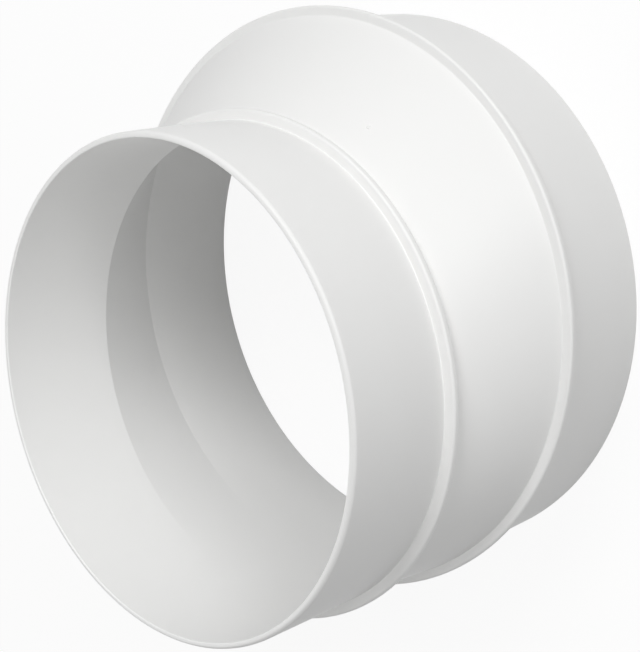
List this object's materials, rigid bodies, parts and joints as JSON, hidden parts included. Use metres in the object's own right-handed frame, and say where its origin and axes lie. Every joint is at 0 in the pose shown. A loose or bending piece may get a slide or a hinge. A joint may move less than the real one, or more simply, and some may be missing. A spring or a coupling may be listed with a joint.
{
  "type": "duct reducer",
  "caption": "Eccentric round duct reducer: one thin moulded shell with a small and a large collar, each with a stop bead, flush along one side and stepped on the other.",
  "frame": {"origin": "centre of the large rim, on the surface that the part stands on", "axes": "+Z along the air path, from the large end up to the small end; +X from the large collar's axis to the small collar's axis, so the flush side is at +X and the step at -X"},
  "size_m": [0.1559, 0.1556, 0.0926],
  "materials": {
    "white_plastic": "moulded, satin"
  },
  "bodies": {
    "root": {"reducer": "white_plastic"}
  },
  "joints": []
}
